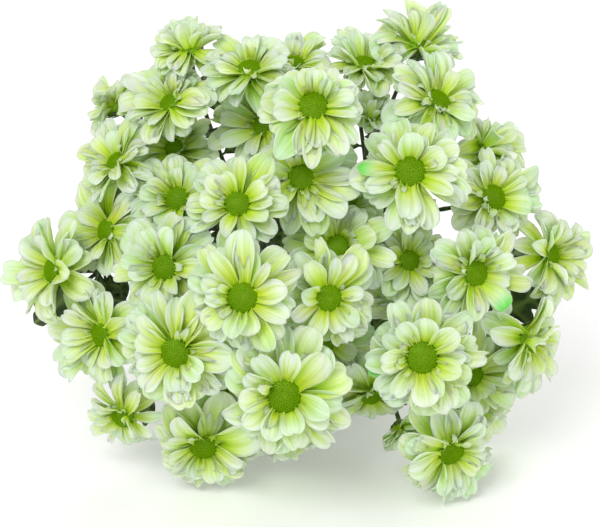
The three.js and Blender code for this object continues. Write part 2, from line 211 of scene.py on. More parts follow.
# What a bloom's solid has at full size, in mm. Its place, size and petals are read from it.
hub = {
    "petals": 8,  # in each whorl of the solid
    "apex": 6.0,  # above the hub's middle
    "foot": -9.5,
    "rings": ((6.2, 5.2), (9.6, 2.2), (10.2, 0), (8.6, -2.6), (2.6, -9.5)),  # radius, height
    "roots": {"outer": (9.42, 0.0), "inner": (8.87, 2.2)},  # middle of a root's upper edge
    "keel": 0.3,  # nearer the petal's middle than this are its keel's corners
    "slack": 0.01,
}
petalTurn = wholeTurn / hub["petals"]  # between the solid's petals


def mergedPoints(mesh):
    points, which = np.unique(np.round(cornersOf(mesh), 6), axis=0, return_inverse=True)
    which = which.reshape(-1)
    beside = [set() for _ in points]
    for polygon in mesh.polygons:
        a, b, c = (int(which[i]) for i in polygon.vertices)
        beside[a] |= {b, c}
        beside[b] |= {a, c}
        beside[c] |= {a, b}
    return points / mm, beside


def readBloom(node):
    points, beside = mergedPoints(node.data)
    poles = []
    for i, near in enumerate(beside):
        away = np.linalg.norm(points[list(near)] - points[i], axis=1)
        if len(near) == hub["petals"] and np.ptp(away) < 2 * hub["slack"]:
            poles.append((away.mean(), i))
    foot, apex = (points[i] for _, i in sorted(poles)[:: len(poles) - 1])
    height = np.linalg.norm(apex - foot)
    facing = (apex - foot) / height
    scale = height / (hub["apex"] - hub["foot"])
    centre = foot - facing * hub["foot"] * scale
    offset = points - centre
    lift = offset @ facing
    radius = np.linalg.norm(offset - lift[:, None] * facing, axis=1)
    onHub = np.zeros(len(points), bool)
    for ring in (*hub["rings"], (0, hub["apex"]), (0, hub["foot"])):
        off = np.stack([radius, lift], axis=1) - np.array(ring) * scale
        onHub |= (abs(off) < hub["slack"]).all(axis=1)
    onDisc = (abs(radius - hub["rings"][0][0] * scale) < hub["slack"]) & onHub
    first = unit(offset[onDisc][0] - lift[onDisc][0] * facing)
    second = np.cross(facing, first)
    turn = np.arctan2(offset @ second, offset @ first) / petalTurn
    petals = []
    left = set(np.flatnonzero(~onHub).tolist())
    while left:
        group = [left.pop()]
        for i in group:
            found = beside[i] & left
            left -= found
            group += sorted(found)
        petals.append(readPetal(points, turn, radius, lift, scale, group))
    ways = {"facing": facing, "first": first, "second": second}
    return {"centre": centre, **ways, "scale": scale, "petals": petals}


def readPetal(points, turn, radius, lift, scale, group):
    # seven corners: two sections of left, right and keel, and the tip; the floor may have cut the tip
    angles = turn[group] * petalTurn
    middle = math.atan2(np.sin(angles).sum(), np.cos(angles).sum())
    place = round(middle / petalTurn * 2) / 2
    middle = place * petalTurn
    whorl = "inner" if round(place * 2) % 2 else "outer"
    side = radius[group] * np.sin(angles - middle)
    out = radius[group] * np.cos(angles - middle)
    up = lift[group]
    cut = points[group][:, 2] < hub["slack"]
    order = np.argsort(out + np.where(cut, 1000, 0))
    edges = [i for i in order if abs(side[i]) > hub["keel"] and not cut[i]]
    ridge = [i for i in order if abs(side[i]) <= hub["keel"] and not cut[i]]
    near, far = edges[:2], edges[2:4]
    lines = [np.array([out[pair].mean(), up[pair].mean()]) for pair in (near, far)]
    last = ridge[-1:] if len(ridge) > 2 else cut
    tip = np.array([out[last].mean(), up[last].mean()])
    root = (np.array(hub["roots"][whorl]) - (petal["rootsIn"], 0)) * scale
    return {
        "place": place % hub["petals"],
        "whorl": whorl,
        "line": np.array([root, *lines, tip]),
        "halfWidth": max(abs(side[pair]).mean() for pair in (near, far)),
    }


# Each bloom of the solid has eight petals in each of two whorls. The real one has more, a third
# whorl under them, and a few small petals that stand round the disc.
petal = {
    "counts": {"outer": 11, "inner": 10, "under": 10},
    "rows": 11,  # points from root to tip
    "section": {"Thickness": 0.05, "Groove": 0.12, "Ripple": 1.5 * mm, "Sides": 14},
    "rippleScale": 150,  # of the noise, to the metre
    "share": {"outer": 1.18, "inner": 1.16, "under": 1.2},  # width, as a share of the solid's
    "widths": (0.8, 1.12),  # from one petal to another, as a share of that
    "base": 0.5,  # width at the root, share of the full width
    "narrowest": 0.06,  # and at the tip
    "rootsIn": 0.7,  # mm nearer the middle than the solid's roots
    "sunk": (1.4, 0.6),  # mm that the roots go on into the hub and down
    "beneath": (0.03, 0.05),  # the third whorl's tips, in and down, share of the length
    "widest": (0.58, 0.76),  # share of the length
    "roundness": (1.3, 3),  # of the tip
    "notches": 0.42,  # share of petals with a notched tip
    "notch": 0.07,  # its depth, share of the length
    "notchWidth": 0.42,  # half of it, share of the petal's half width
    "notchFrom": 0.75,  # share of the length
    "wander": {"outer": 8, "inner": 11, "under": 10},  # degrees off its even place
    "full": 24,  # mm, the natural length of an outer petal on a bloom of full size
    "lengths": {"outer": 1.04, "inner": 0.86, "under": 1.1},  # shares of it
    "outlines": {"outer": 1.04, "inner": 0.87, "under": 1.1},  # where tips come, share of the reach
    "lifts": (-0.55, 0.75),  # radians, the most that fitting the outline turns a petal
    "stretch": (0.74, 1.3),  # and shortens or lengthens it
    "costs": {"stretch": 0.3, "lift": 0.2},  # of that, beside missing the outline by as much
    "steepest": 1,  # radians
    "squareness": 2.5,  # of a bloom's outline, where 2 is an ellipse
    "offFloor": 1.2,  # mm, the lowest place of a tip
    "uneven": (0.8, 1.12),  # lengths from one petal to another
    "folded": 0.18,  # share of petals that are half rolled up
    "foldedWidth": (0.62, 0.8),
    "foldedCurl": (0.5, 1),
    "hoodedCurl": (0.3, 0.8),  # of those that point at the eye
    "rise": {"outer": 9, "inner": 14, "under": 7},  # degrees, up or down
    "bow": (-0.02, 0.06),  # upwards at the middle, share of the length
    "recurve": (-0.08, 0.09),  # downwards at the tip
    "bend": 0.12,  # sideways at the tip
    "twist": 32,  # degrees at the tip
    "turn": 5,  # and all along
    "cup": (0.35, 0.9),  # hollow at the root
    "curl": (-0.15, 0.42),  # and at the tip
    "faintTips": 0.3,  # share of petals with a faint green tip
    "faintGreen": (0.1, 0.4),
    "greener": {"outer": 0.1, "inner": 0, "under": 0.32},  # painted shade: greener where less light comes, most on the whorl beneath
}
smallPetal = {  # at full size
    "count": (5, 12),
    "rows": 7,
    "root": (7.7, 1.8),  # mm from the middle, and up
    "length": (5, 13),  # mm
    "rise": (30, 70),  # degrees, halfway along
    "steeper": 20,  # by the root
    "nod": (10, 80),  # and this much less by the tip
    "halfWidth": (1.1, 2.6),  # mm
    "cup": (0.6, 1.1),
    "greener": (0.3, 0.8),
    "apart": 0.32,  # share of the turn between the solid's petals
    "scatter": 0.2,
    "strays": 0.3,  # share of them that stand further round
    "strayTurn": 2.5,
}
reaches = {  # mm that a bloom's petals reach left, right, up and down of its disc, as seen
    "a1": (36, 24, 21, 23), "a2": (25, 23, 19, 16), "a3": (20, 26, 29, 24), "a4": (11, 26, 15, 24),
    "a5": (29, 26, 24, 25), "b1": (29, 29, 18, 34), "b2": (29, 23, 21, 22), "b3": (36, 25, 25, 22),
    "b4": (24, 24, 20, 18), "c1": (32, 24, 28, 26), "c2": (23, 25, 25, 17), "c3": (33, 25, 30, 15),
    "c4": (13, 15, 18, 12), "c5": (26, 24, 17, 23), "d1": (30, 31, 27, 32), "d2": (29, 29, 25, 23),
    "d3": (26, 25, 25, 30), "e1": (28, 36, 27, 30), "e2": (27, 27, 29, 27), "e3": (30, 33, 24, 28),
    "e4": (29, 20, 20, 22), "f1": (28, 30, 32, 26), "f2": (29, 26, 24, 27), "f3": (27, 26, 32, 28),
    "f4": (30, 30, 30, 24), "g1": (30, 36, 38, 28), "g2": (27, 28, 34, 27), "g3": (23, 24, 32, 26),
    "g4": (24, 30, 22, 22), "g5": (21, 17, 15, 15), "h1": (30, 33, 34, 28), "h2": (36, 26, 31, 28),
    "h3": (27, 34, 33, 24), "h4": (20, 29, 25, 15), "h5": (24, 20, 26, 18), "i1": (31, 32, 31, 31),
    "i2": (30, 25, 31, 30), "i3": (24, 33, 33, 19), "i4": (22, 22, 24, 12), "i5": (13, 14, 19, 12),
    "i6": (26, 20, 22, 22), "j1": (27, 30, 26, 30), "j2": (22, 19, 23, 25), "j3": (28, 20, 30, 19),
    "j4": (27, 15, 36, 31),
}
quilled = {"h4": 0.62}  # blooms with narrow petals: share of the usual width


def petalOutline(v, widest, roundness):  # half width along the petal, 1 at its widest
    rise = petal["base"] + (1 - petal["base"]) * smooth(v / widest)
    fall = np.clip((v - widest) / (1 - widest), 0, 1)
    return np.maximum(rise * np.sqrt(1 - fall**roundness), petal["narrowest"])


def wayOf(bloom, place):  # the direction from the disc at a place in the ring of petals
    return turned(bloom["first"], bloom["second"], place * petalTurn)


def petalLine(bloom, plan, random):
    # one petal's middle line and the values that the sweep needs at each of its points
    rows = smallPetal["rows"] if plan["whorl"] == "small" else petal["rows"]
    v = np.sin(np.linspace(0, math.pi / 2, rows))
    length = stepsOf(plan["line"]).sum()
    curve = np.polyfit(runOf(plan["line"]) / length, plan["line"], 3)
    out, up = (np.polyval(curve[:, i], v) for i in (0, 1))
    bow, recurve = random.uniform(*petal["bow"]), random.uniform(*petal["recurve"])
    up = up + length * (bow * np.sin(math.pi * v) - recurve * v**4)
    side = length * random.uniform(-petal["bend"], petal["bend"]) * v**2
    outward = wayOf(bloom, plan["place"])
    sideways = np.cross(bloom["facing"], outward)
    points = bloom["centre"] + out[:, None] * outward + up[:, None] * bloom["facing"]
    points = points + side[:, None] * sideways
    tangent = units(np.gradient(points, axis=0))
    upper = units(np.cross(tangent, sideways))
    beside = np.cross(upper, tangent)
    twist = random.uniform(-1, 1) * petal["twist"] * v + random.uniform(-1, 1) * petal["turn"]
    twist = np.radians(twist)[:, None]
    upper = np.cos(twist) * upper + np.sin(twist) * beside
    outline = petalOutline(v, random.uniform(*petal["widest"]), random.uniform(*petal["roundness"]))
    cup = plan["cup"] * (1 - v) ** 1.5 + plan.get("curl", random.uniform(*petal["curl"])) * v
    notch = length * petal["notch"] * (random.uniform(0, 1) < petal["notches"])
    one = np.ones_like(v)
    return points * mm, {
        "upper": upper,
        "onward": tangent,
        "notch": notch * smooth((v - petal["notchFrom"]) / 0.2) * mm,
        "halfWidth": plan["halfWidth"] * outline * mm,
        "fullWidth": plan["halfWidth"] * mm * one,
        "cup": cup,
        "along": v,
        "petalRandom": random.uniform(0, 1) * one,
        "greenTip": plan["green"] * one,
        "greener": plan["greener"] * one,
    }


def raised(line, angle):  # turns a petal's line up about its root
    c, s = math.cos(angle), math.sin(angle)
    return line[0] + (line - line[0]) @ np.array([[c, s], [-s, c]])


def stretched(line, share):
    return line[0] + (line - line[0]) * share


def heightOf(bloom, way, line):
    tip = bloom["centre"] + line[3, 0] * way + line[3, 1] * bloom["facing"]
    return tip[2]


def fitted(bloom, way, line, natural, outline):
    # the small change of lift and length that brings a petal's tip to the bloom's outline as seen
    left, right, up, down = bloom["reaches"]
    power = petal["squareness"]
    length = stepsOf(line).sum()
    best, least = line, math.inf
    for lift in np.linspace(*petal["lifts"], 15):
        bent = raised(line, lift)
        bent = stretched(bent, natural / length)
        tip = bent[3, 0] * way + bent[3, 1] * bloom["facing"]
        x, y = tip @ bloom["seenRight"], tip @ bloom["seenUp"]
        x, y = abs(x) / (left if x < 0 else right), abs(y) / (down if y < 0 else up)
        over = (x**power + y**power) ** (1 / power) / outline  # 1 on the outline
        longer = min(max(1 / over, petal["stretch"][0]), petal["stretch"][1])
        bent = stretched(bent, longer)
        steep = math.atan2(bent[3, 1] - bent[0, 1], bent[3, 0] - bent[0, 0])
        miss = abs(math.log(over * longer)) + petal["costs"]["stretch"] * abs(math.log(longer))
        miss += petal["costs"]["lift"] * abs(lift) + max(0, steep - petal["steepest"])
        miss += max(0, petal["offFloor"] - heightOf(bloom, way, bent))
        if miss < least:
            best, least = bent, miss
    return best


def between(petals, whorl, place):  # a petal between the two nearest of the solid's whorl
    kind = "inner" if whorl == "inner" else "outer"
    offset = 0.5 if kind == "inner" else 0
    lower = math.floor(place - offset) + offset
    share = place - lower
    before, after = (
        next(p for p in petals if p["whorl"] == kind and p["place"] == at % hub["petals"])
        for at in (lower, lower + 1)
    )
    return [before[part] * (1 - share) + after[part] * share for part in ("line", "halfWidth")]


def petalPlans(name, bloom, random):
    # the solid's petals, the whorl beneath them and the small ones by the disc
    scale = bloom["scale"]
    plans = []
    for whorl, count in petal["counts"].items():
        start = random.uniform(0, 1)
        for k in range(count):
            place = (start + k) * hub["petals"] / count
            line, halfWidth = between(bloom["petals"], whorl, place)
            line[0] -= np.array(petal["sunk"]) * scale
            if whorl == "under":
                drop = np.array(petal["beneath"]) * (line[3, 0] - line[0, 0])
                line -= np.linspace(0, 1, 4)[:, None] * drop
            plans.append({"whorl": whorl, "place": place, "line": line, "halfWidth": halfWidth})
    bloom["reaches"] = reaches[name]
    sight = unit(np.array(view["aim"]) + frontWay * view["distance"] - bloom["centre"])
    bloom["seenRight"] = unit(np.cross(upWay, sight))
    bloom["seenUp"] = np.cross(sight, bloom["seenRight"])
    lean = math.acos(float(np.clip(bloom["facing"] @ sight, -1, 1)))
    for plan in plans:
        whorl = plan["whorl"]
        plan["place"] += random.uniform(-1, 1) * petal["wander"][whorl] / 360 * hub["petals"]
        way = wayOf(bloom, plan["place"])
        natural = petal["full"] * scale * petal["lengths"][whorl]
        line = fitted(bloom, way, plan["line"], natural, petal["outlines"][whorl])
        line = raised(line, math.radians(random.uniform(-1, 1) * petal["rise"][whorl]))
        line = stretched(line, random.uniform(*petal["uneven"]))
        for _ in range(30):  # what would reach the floor is lifted and shortened step by step
            if heightOf(bloom, way, line) >= petal["offFloor"]:
                break
            line = stretched(raised(line, 0.05), 0.96)
        plan["line"] = line
        plan["halfWidth"] *= max(1, stepsOf(line).sum() / natural) ** 0.7
        plan["halfWidth"] *= petal["share"][whorl] * random.uniform(*petal["widths"])
        plan["halfWidth"] *= quilled.get(name, 1)
        plan["cup"] = random.uniform(*petal["cup"])
        if random.uniform(0, 1) < petal["folded"]:
            plan["halfWidth"] *= random.uniform(*petal["foldedWidth"])
            plan["curl"] = random.uniform(*petal["foldedCurl"])
        elif random.uniform(0.1, 1) < (way @ sight) * min(lean, 1):
            plan["curl"] = random.uniform(*petal["hoodedCurl"])
        faint = float(random.uniform(0, 1) < petal["faintTips"])
        plan["green"] = faint * random.uniform(*petal["faintGreen"])
        # painted shade: the whorls where less light comes are made greener
        plan["greener"] = petal["greener"][whorl]
    run = random.uniform(0, hub["petals"])
    fewest, most = smallPetal["count"]
    for k in range(random.integers(fewest, most + 1)):
        length = random.uniform(*smallPetal["length"]) * scale
        rise = random.uniform(*smallPetal["rise"])
        nod = random.uniform(*smallPetal["nod"])
        rises = np.radians([rise + smallPetal["steeper"], rise, rise - nod])
        steps = np.stack([np.cos(rises), np.sin(rises)], axis=1) * length / 3
        root = np.array(smallPetal["root"]) * scale
        place = run + smallPetal["apart"] * k + random.uniform(-1, 1) * smallPetal["scatter"]
        place += smallPetal["strayTurn"] * (random.uniform(0, 1) < smallPetal["strays"])
        plans.append(
            {
                "whorl": "small",
                "place": place,
                "line": root + np.concatenate([np.zeros((1, 2)), np.cumsum(steps, axis=0)]),
                "halfWidth": random.uniform(*smallPetal["halfWidth"]) * scale,
                "cup": random.uniform(*smallPetal["cup"]),
                "green": 0,
                "greener": random.uniform(*smallPetal["greener"]),
            }
        )
    return plans


def petalTree(material):
    sizes = {"Thickness": "Float", "Groove": "Float", "Ripple": "Float", "Sides": "Int"}
    tree, add, start = newTree("petals", sizes)
    names = ("upper", "onward", "halfWidth", "fullWidth", "cup", "along", "notch", "across")
    upper, onward, halfWidth, fullWidth, cup, along, notch, across = (
        add(
            "GeometryNodeInputNamedAttribute",
            {"Name": name},
            data_type="FLOAT_VECTOR" if name in ("upper", "onward") else "FLOAT",
        ).outputs["Attribute"]
        for name in names
    )
    curve = add("GeometryNodeMeshToCurve", {"Mesh": start["Geometry"]})
    faced = add("GeometryNodeSetCurveNormal", {"Curve": curve, "Normal": upper}, mode="FREE")
    ring = {"Resolution": start["Sides"], "Radius": 1}
    circle = add("GeometryNodeCurvePrimitiveCircle", ring)
    flat = add("ShaderNodeCombineXYZ", {"X": start["Thickness"], "Y": 1, "Z": 1})
    section = add("GeometryNodeTransform", {"Geometry": circle, "Scale": flat})
    place = add("GeometryNodeInputPosition")
    parts = add("ShaderNodeSeparateXYZ", {0: place})
    named = add(
        "GeometryNodeStoreNamedAttribute",
        {"Geometry": section, "Value": parts.outputs["Y"], "Name": "across"},
    )
    swept = add(
        "GeometryNodeCurveToMesh",
        {"Curve": faced, "Profile Curve": named, "Scale": halfWidth, "Fill Caps": True},
    )
    # the petal is hollow, with a groove each side of its middle and ripples towards its tip
    squared = add("ShaderNodeMath", {0: across, 1: across}, operation="MULTIPLY")
    cupped = add("ShaderNodeMath", {0: squared, 1: cup}, operation="MULTIPLY")
    phase = add("ShaderNodeMath", {0: across, 1: wholeTurn}, operation="MULTIPLY")
    wave = add("ShaderNodeMath", {0: phase}, operation="COSINE")
    grooved = {0: wave, 1: start["Groove"], 2: cupped}
    hollow = add("ShaderNodeMath", grooved, operation="MULTIPLY_ADD")
    lift = add("ShaderNodeMath", {0: hollow, 1: halfWidth}, operation="MULTIPLY")
    noise = add("ShaderNodeTexNoise", {"Scale": petal["rippleScale"], "Detail": 1})
    even = add("ShaderNodeMath", {0: noise, 1: 0.5}, operation="SUBTRACT")
    deep = add("ShaderNodeMath", {0: even, 1: start["Ripple"]}, operation="MULTIPLY")
    rippled = add("ShaderNodeMath", {0: deep, 1: along, 2: lift}, operation="MULTIPLY_ADD")
    offset = add("ShaderNodeVectorMath", {0: upper, "Scale": rippled}, operation="SCALE")
    # a notched tip is drawn back at the middle of its edge
    aside = add("ShaderNodeMath", {0: across, 1: halfWidth}, operation="MULTIPLY")
    share = add("ShaderNodeMath", {0: aside, 1: fullWidth}, operation="DIVIDE")
    middle = {0: share, 1: 0, 2: petal["notchWidth"]}
    inNotch = add("ShaderNodeMath", middle, operation="COMPARE")
    opened = {0: share, 1: math.pi / petal["notchWidth"]}
    bent = add("ShaderNodeMath", opened, operation="MULTIPLY")
    dip = add("ShaderNodeMath", {0: bent}, operation="COSINE")
    dipped = add("ShaderNodeMath", {0: dip, 1: -0.5, 2: -0.5}, operation="MULTIPLY_ADD")
    within = add("ShaderNodeMath", {0: dipped, 1: inNotch}, operation="MULTIPLY")
    back = add("ShaderNodeMath", {0: within, 1: notch}, operation="MULTIPLY")
    notched = add("ShaderNodeVectorMath", {0: onward, "Scale": back}, operation="SCALE")
    moved = add("ShaderNodeVectorMath", {0: offset, 1: notched}, operation="ADD")
    shaped = add("GeometryNodeSetPosition", {"Geometry": swept, "Offset": moved})
    halved = add("ShaderNodeMath", {0: across, 1: 0.5, 2: 0.5}, operation="MULTIPLY_ADD")
    onPetal = add("ShaderNodeCombineXYZ", {"X": halved, "Y": along})
    mapped = add(
        "GeometryNodeStoreNamedAttribute",
        {"Geometry": shaped, "Value": onPetal, "Name": "petalMap"},
        data_type="FLOAT2",
        domain="CORNER",
    )
    return endTree(tree, mapped, material)


def spiralTree(name, material):
    # sets a piece out along a profile in the golden-angle spiral that florets and bracts grow in
    sizes = {"Spread": "Float", "Size": "Float", "Least": "Float"}
    inputs = {"Piece": "Object", "Count": "Int", **sizes, "Seed": "Int"}
    tree, add, start = newTree(name, inputs)
    curve = add("GeometryNodeMeshToCurve", {"Mesh": start["Geometry"]})
    points = add("GeometryNodePoints", {"Count": start["Count"]})
    index = add("GeometryNodeInputIndex")
    middle = add("ShaderNodeMath", {0: index, 1: 0.5}, operation="ADD")
    share = add("ShaderNodeMath", {0: middle, 1: start["Count"]}, operation="DIVIDE")
    along = add("ShaderNodeMath", {0: share, 1: start["Spread"]}, operation="POWER")
    sample = add("GeometryNodeSampleCurve", {"Curves": curve, "Factor": along}, mode="FACTOR")
    tangent, position = (sample.outputs[label] for label in ("Tangent", "Position"))
    sidelong = {0: tangent, 1: (0, 1, 0)}
    normal = add("ShaderNodeVectorMath", sidelong, operation="CROSS_PRODUCT")
    turn = add("ShaderNodeMath", {0: index, 1: goldenAngle}, operation="MULTIPLY")
    onward, inward, place = (
        add("ShaderNodeVectorRotate", {"Vector": vector, "Angle": turn}, rotation_type="Z_AXIS")
        for vector in (tangent, normal, position)
    )
    up = add("ShaderNodeVectorMath", {0: inward, "Scale": -1}, operation="SCALE")
    pointed = add(
        "FunctionNodeAxesToRotation",
        {"Primary Axis": up, "Secondary Axis": onward},
        primary_axis="Z",
        secondary_axis="Y",
    )
    drawn = add("FunctionNodeRandomValue", {"Seed": start["Seed"], 2: 0.85, 3: 1.15}).outputs[1]
    tagged = add("GeometryNodeSetPosition", {"Geometry": points, "Position": place})
    for label, value in {"spiral": along, "pieceRandom": drawn}.items():
        tagged = add(
            "GeometryNodeStoreNamedAttribute",
            {"Geometry": tagged, "Value": value, "Name": label},
        )
    ends = {"Value": along, "To Min": start["Least"], "To Max": start["Size"]}
    grown = add("ShaderNodeMapRange", ends)
    sized = add("ShaderNodeMath", {0: grown, 1: drawn}, operation="MULTIPLY")
    piece = add("GeometryNodeObjectInfo", {"Object": start["Piece"]}).outputs["Geometry"]
    pieces = add(
        "GeometryNodeInstanceOnPoints",
        {"Points": tagged, "Instance": piece, "Rotation": pointed, "Scale": sized},
    )
    return endTree(tree, pieces, material)


def turnProfile(name, profile, sides, material):  # a closed solid of revolution, poles shared
    points = [(0, 0, profile[0][1])]
    for radius, height in profile[1:-1]:
        for angle in np.arange(sides) * wholeTurn / sides:
            points.append((radius * math.cos(angle), radius * math.sin(angle), height))
    points.append((0, 0, profile[-1][1]))
    faces = []
    last = len(points) - 1
    end = last - sides
    for k in range(sides):
        following = (k + 1) % sides
        faces.append((0, 1 + k, 1 + following))
        for a in range(1, end, sides):
            b = a + sides
            faces.append((a + k, b + k, b + following, a + following))
        faces.append((end + k, last, end + following))
    return meshOf(name, points, faces, material)


disc = {
    "profile": ((0.1, 5.2), (2.5, 5.1), (4.7, 4.65), (6.3, 3.9), (7.2, 2.8), (7.5, 1.6)),
    "growth": {"Count": 190, "Spread": 0.5, "Size": 1.0, "Least": 0.85},
}
calyx = {
    "profile": ((2.5, -9.6), (3.6, -8.6), (6.2, -6.3), (8.4, -3.9), (9.4, -2.2)),
    "growth": {"Count": 34, "Spread": 0.7, "Size": 1.0, "Least": 0.6},
}
core = {  # between the disc and the calyx
    "sides": 16,
    "profile": (  # radius, height
        (0, 4.8), (2.6, 4.7), (5.0, 4.25), (6.7, 3.5), (7.6, 2.4), (8.7, 0.8), (9.2, -1.2),
        (8.6, -3.2), (6.2, -5.9), (3.6, -8.2), (2.3, -9.4), (2.0, -10.5), (0, -10.6),
    ),
}


def floretMesh():  # a closed disc floret: five lobes round a dimple
    sides = 5
    turns = np.arange(sides) * wholeTurn / sides
    points = []
    for radius, height in ((0.52, -0.3), (0.58, 0.42)):
        points += [(radius * math.cos(turn), radius * math.sin(turn), height) for turn in turns]
    points.append((0, 0, 0.3))
    faces = [tuple(reversed(range(sides)))]
    for k in range(sides):
        following = (k + 1) % sides
        faces.append((k, following, sides + following, sides + k))
        faces.append((sides + k, sides + following, 2 * sides))
    return meshOf("floret", points, faces)


def bractMesh():  # a scale of the calyx: it lies along +Y, with its back up
    rows = ((-0.6, 1.2, 0), (1.2, 1.7, 0.35), (3.2, 1.35, 0.5), (4.9, 0.25, 0.55))
    points = []
    for y, half, z in rows:  # along, half width, height
        points += [(-half, y, z - 0.35), (0, y, z + 0.25), (half, y, z - 0.35), (0, y, z - 0.45)]
    faces = [(3, 2, 1, 0), (12, 13, 14, 15)]
    for a in (0, 4, 8):
        for k in range(4):
            following = (k + 1) % 4
            faces.append((a + k, a + following, a + 4 + following, a + 4 + k))
    return meshOf("bract", points, faces)


def newMaterial(name, values):  # with numbers that are the same all over
    material = bpy.data.materials.new(name)
    material.use_nodes = True
    shader = material.node_tree.nodes["Principled BSDF"]
    setInputs(shader, values)
    return material, partial(addNode, material.node_tree), shader


def petalMaterial():
    # ray floret: thin moist tissue, satin, light comes through it; yellow-green at its root,
    # nearly white at its edges, with fine lengthwise veins
    tissue = {
        "Roughness": 0.44,
        "Specular IOR Level": 0.4,
        "Subsurface Weight": 0.6,
        "Subsurface Radius": (0.8, 1.0, 0.5),
        "Subsurface Scale": 2.2 * mm,
        "Sheen Weight": 0.08,
    }
    material, add, shader = newMaterial("ray floret tissue", tissue)
    chance, green, greener = (
        add("ShaderNodeAttribute", attribute_name=name).outputs["Fac"]
        for name in ("petalRandom", "greenTip", "greener")
    )
    onPetal = add("ShaderNodeUVMap", uv_map="petalMap")
    parts = add("ShaderNodeSeparateXYZ", {0: onPetal})
    across, along = parts.outputs["X"], parts.outputs["Y"]
    # two furrows run along each petal, with fine pleats between them
    stretch = add("ShaderNodeMapping", {"Vector": onPetal, "Scale": (8, 0.55, 1)})
    seed = add("ShaderNodeMath", {0: chance, 1: 40}, operation="MULTIPLY")
    streaks = add(
        "ShaderNodeTexNoise",
        {"Vector": stretch, "W": seed, "Scale": 1, "Detail": 2, "Roughness": 0.55},
        noise_dimensions="4D",
    )
    grained = streaks
    for waves, depth in ((2, -0.05), (6, -0.055)):
        turns = {0: across, 1: waves * wholeTurn}
        phase = add("ShaderNodeMath", turns, operation="MULTIPLY")
        wave = add("ShaderNodeMath", {0: phase}, operation="COSINE")
        folded = {0: wave, 1: depth, 2: grained}
        grained = add("ShaderNodeMath", folded, operation="MULTIPLY_ADD")
    # the tone is paler towards the tip and the edges, and varies by petal and in streaks; it is greener on
    # the small petals by the disc, which are young, and greener as painted shade on the whorls where less
    # light comes
    fromMiddle = add("ShaderNodeMath", {0: across, 1: 0.5}, operation="SUBTRACT")
    outwards = add("ShaderNodeMath", {0: fromMiddle}, operation="ABSOLUTE")
    streak = add("ShaderNodeMath", {0: 0.5, 1: grained}, operation="SUBTRACT")
    reach = along
    for part, amount in ((outwards, 0.35), (greener, -0.35), (chance, 0.16), (streak, 0.45)):
        added = {0: part, 1: amount, 2: reach}
        reach = add("ShaderNodeMath", added, operation="MULTIPLY_ADD")
    tones = ((0.1, "#B4E405"), (0.27, "#C6EC1A"), (0.42, "#D4EE5E"), (0.63, "#DAF0A2"), (0.93, "#E4F3E0"))
    tone = setCurve(add("ShaderNodeValToRGB", {"Fac": reach}), tones)
    # the veins are a little greener, and less so towards the tip
    ends = {"Value": grained, "From Min": 0.46, "From Max": 0.66, "To Min": 0, "To Max": 1}
    vein = add("ShaderNodeMapRange", ends)
    fading = add("ShaderNodeMath", {0: along, 1: -0.25, 2: 0.65}, operation="MULTIPLY_ADD")
    veinHere = add("ShaderNodeMath", {0: vein, 1: fading}, operation="MULTIPLY")
    shades = ((0, "#F8FFDC"), (0.4, "#FFFFF6"), (0.7, "#FAFFF6"), (1, "#EEFCE8"))
    shade = setCurve(add("ShaderNodeValToRGB", {"Fac": chance}), shades)
    colour = tone
    for amount, tinted in ((veinHere, linear("#DCF2A6")), (1, shade)):
        mixed = {0: amount, 6: colour, 7: tinted}
        colour = add("ShaderNodeMix", mixed, data_type="RGBA", blend_type="MULTIPLY").outputs[2]
    # some tips stayed green
    tipFade = add(
        "ShaderNodeMapRange",
        {"Value": along, "From Min": 0.5, "From Max": 0.98},
        interpolation_type="SMOOTHSTEP",
    )
    tipGreen = add("ShaderNodeMath", {0: tipFade, 1: green}, operation="MULTIPLY")
    greens = ((0.2, "#B4E4A8"), (1, "#66DC50"))
    tint = setCurve(add("ShaderNodeValToRGB", {"Fac": green}), greens)
    tipped = add("ShaderNodeMix", {0: tipGreen, 6: colour, 7: tint}, data_type="RGBA")
    relief = {"Height": grained, "Strength": 0.75, "Distance": 0.8 * mm}
    bump = add("ShaderNodeBump", relief)
    setInputs(shader, {"Base Color": tipped.outputs[2], "Normal": bump})
    return material


def floretMaterial():
    # disc florets: tight fleshy buds, waxy, fresh green in the middle and darker at the rim
    waxy = {"Roughness": 0.7, "Specular IOR Level": 0.02}
    material, add, shader = newMaterial("disc floret tissue", waxy)
    place, chance = (
        add("ShaderNodeAttribute", attribute_name=name).outputs["Fac"]
        for name in ("spiral", "pieceRandom")
    )
    even = add("ShaderNodeMath", {0: chance, 1: 1}, operation="SUBTRACT")
    mixed = add("ShaderNodeMath", {0: even, 1: 0.5, 2: place}, operation="MULTIPLY_ADD")
    greens = ((0, "#76A600"), (0.6, "#74A200"), (0.88, "#6C9800"), (1, "#608A00"))
    ramp = setCurve(add("ShaderNodeValToRGB", {"Fac": mixed}), greens)
    setInputs(shader, {"Base Color": ramp})
    return material


def mottled(name, values, grain, colours, relief):  # uneven in colour and height, by one noise
    material, add, shader = newMaterial(name, values)
    place = add("ShaderNodeTexCoord").outputs["Object"]
    noise = add("ShaderNodeTexNoise", {"Vector": place, **grain})
    ramp = setCurve(add("ShaderNodeValToRGB", {"Fac": noise}), colours)
    bump = add("ShaderNodeBump", {"Height": noise, **relief})
    setInputs(shader, {"Base Color": ramp, "Normal": bump})
    return material, add, shader, ramp


def greenMaterial(name, dark, light, grain, roughness):
    # young green plant skin: satin, a little uneven in colour
    grained = {"Scale": grain, "Detail": 4, "Roughness": 0.6}
    relief = {"Strength": 0.3, "Distance": 0.3 * mm}
    return mottled(name, {"Roughness": roughness}, grained, ((0.3, dark), (0.7, light)), relief)[0]


